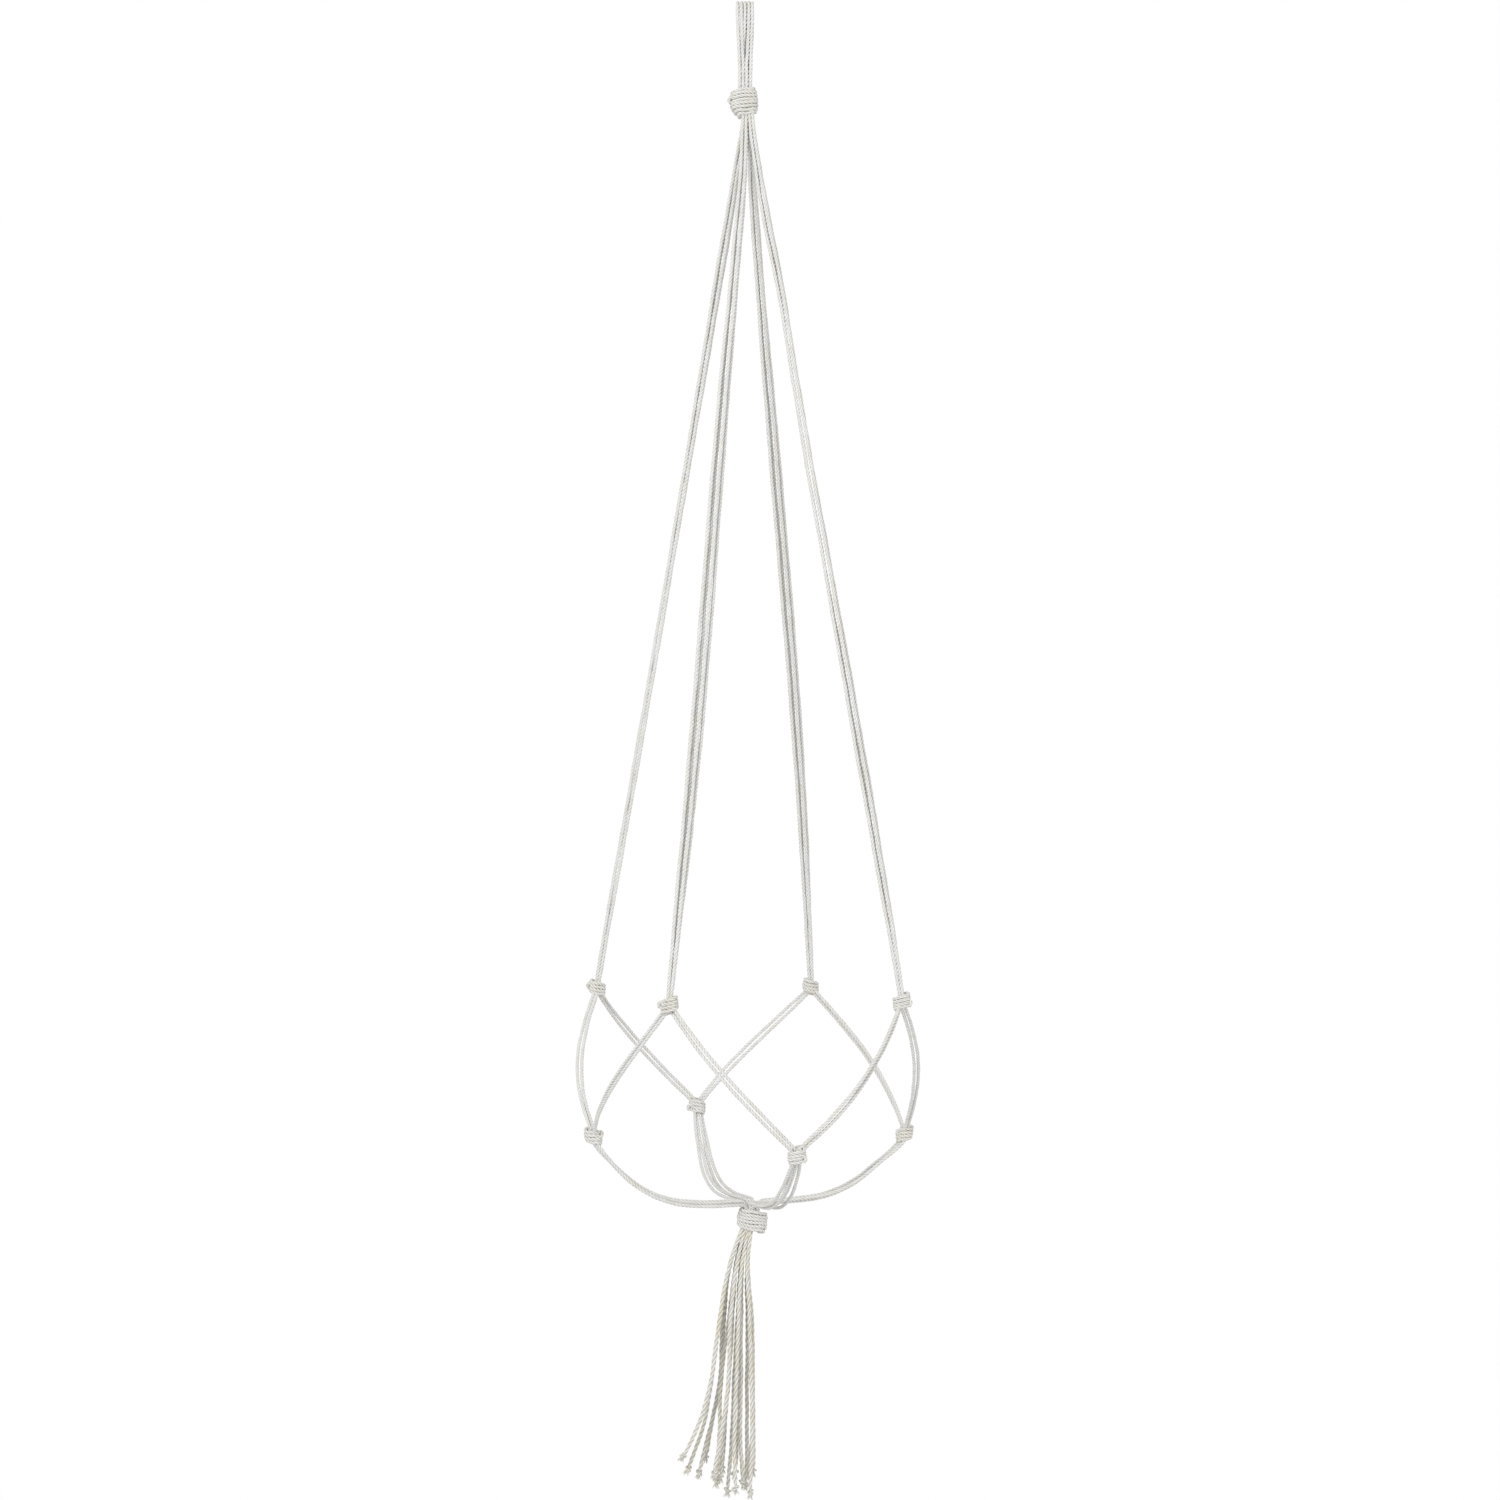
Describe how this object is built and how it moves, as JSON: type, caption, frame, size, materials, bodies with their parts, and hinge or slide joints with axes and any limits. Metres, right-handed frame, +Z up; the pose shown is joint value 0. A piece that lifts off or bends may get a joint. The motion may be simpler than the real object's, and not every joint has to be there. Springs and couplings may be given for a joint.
{
  "type": "hanging macrame planter",
  "caption": "Knotted cotton-cord plant hanger: a hanging loop, long legs, an open net that cradles a round pot, and a knotted tassel below",
  "frame": {"origin": "the hook seat: the inside of the top of the hanging loop, where it rests on its hook", "axes": "+X right along the hook, -Y front, +Z up; the hanger hangs down along -Z"},
  "size_m": [0.2441, 0.2399, 1.0524],
  "materials": {
    "cotton_cord": "natural off-white cotton, three-ply twist, matt and slightly fuzzy",
    "knotted_cord": "the same off-white cotton pulled tight into knots, matt",
    "tassel_cord": "the same off-white cotton hanging loose, softer and fuzzier, with frayed tips"
  },
  "bodies": {
    "loop": {"hanging_loop": "cotton_cord"},
    "top_knot": {"top_knot": "knotted_cord"},
    "neck": {"gathered_neck": "cotton_cord"},
    "basket": {"left_leg": "cotton_cord", "front_leg": "cotton_cord", "right_leg": "cotton_cord", "back_leg": "cotton_cord", "upper_knot_left": "knotted_cord", "upper_knot_front": "knotted_cord", "upper_knot_right": "knotted_cord", "upper_knot_back": "knotted_cord", "net_pair_left_left": "cotton_cord", "net_pair_front_left": "cotton_cord", "net_pair_front_front": "cotton_cord", "net_pair_right_front": "cotton_cord", "net_pair_right_right": "cotton_cord", "net_pair_back_right": "cotton_cord", "net_pair_back_back": "cotton_cord", "net_pair_left_back": "cotton_cord", "lower_knot_left": "knotted_cord", "lower_knot_front": "knotted_cord", "lower_knot_right": "knotted_cord", "lower_knot_back": "knotted_cord", "base_cords_left": "cotton_cord", "base_cords_front": "cotton_cord", "base_cords_right": "cotton_cord", "base_cords_back": "cotton_cord"},
    "base_knot": {"base_knot": "knotted_cord"},
    "tassel": {"tail_01": "tassel_cord", "tail_02": "tassel_cord", "tail_03": "tassel_cord", "tail_04": "tassel_cord", "tail_05": "tassel_cord", "tail_06": "tassel_cord", "tail_07": "tassel_cord", "tail_08": "tassel_cord", "tail_09": "tassel_cord", "tail_10": "tassel_cord", "tail_11": "tassel_cord", "tail_12": "tassel_cord", "tail_13": "tassel_cord", "tail_14": "tassel_cord", "tail_15": "tassel_cord", "tail_16": "tassel_cord"}
  },
  "joints": [
    {"name": "neck_twist", "type": "hinge", "parent": "loop", "child": "top_knot", "pos_m": [0, 0, -0.0528], "axis": [0, 0, 1], "range_deg": [-120, 120]},
    {"name": "sway_front_back", "type": "hinge", "parent": "top_knot", "child": "neck", "pos_m": [0.0007, 0, -0.079], "axis": [1, 0, 0], "range_deg": [-20, 20]},
    {"name": "sway_side", "type": "hinge", "parent": "neck", "child": "basket", "pos_m": [0.0007, 0, -0.095], "axis": [0, 1, 0], "range_deg": [-20, 20]},
    {"name": "base_knot_rock", "type": "hinge", "parent": "basket", "child": "base_knot", "pos_m": [0.0046, 0, -0.843], "axis": [1, 0, 0], "range_deg": [-12, 12]},
    {"name": "tassel_sway", "type": "hinge", "parent": "base_knot", "child": "tassel", "pos_m": [-0.0011, 0, -0.865], "axis": [0, 1, 0], "range_deg": [-25, 25]}
  ]
}
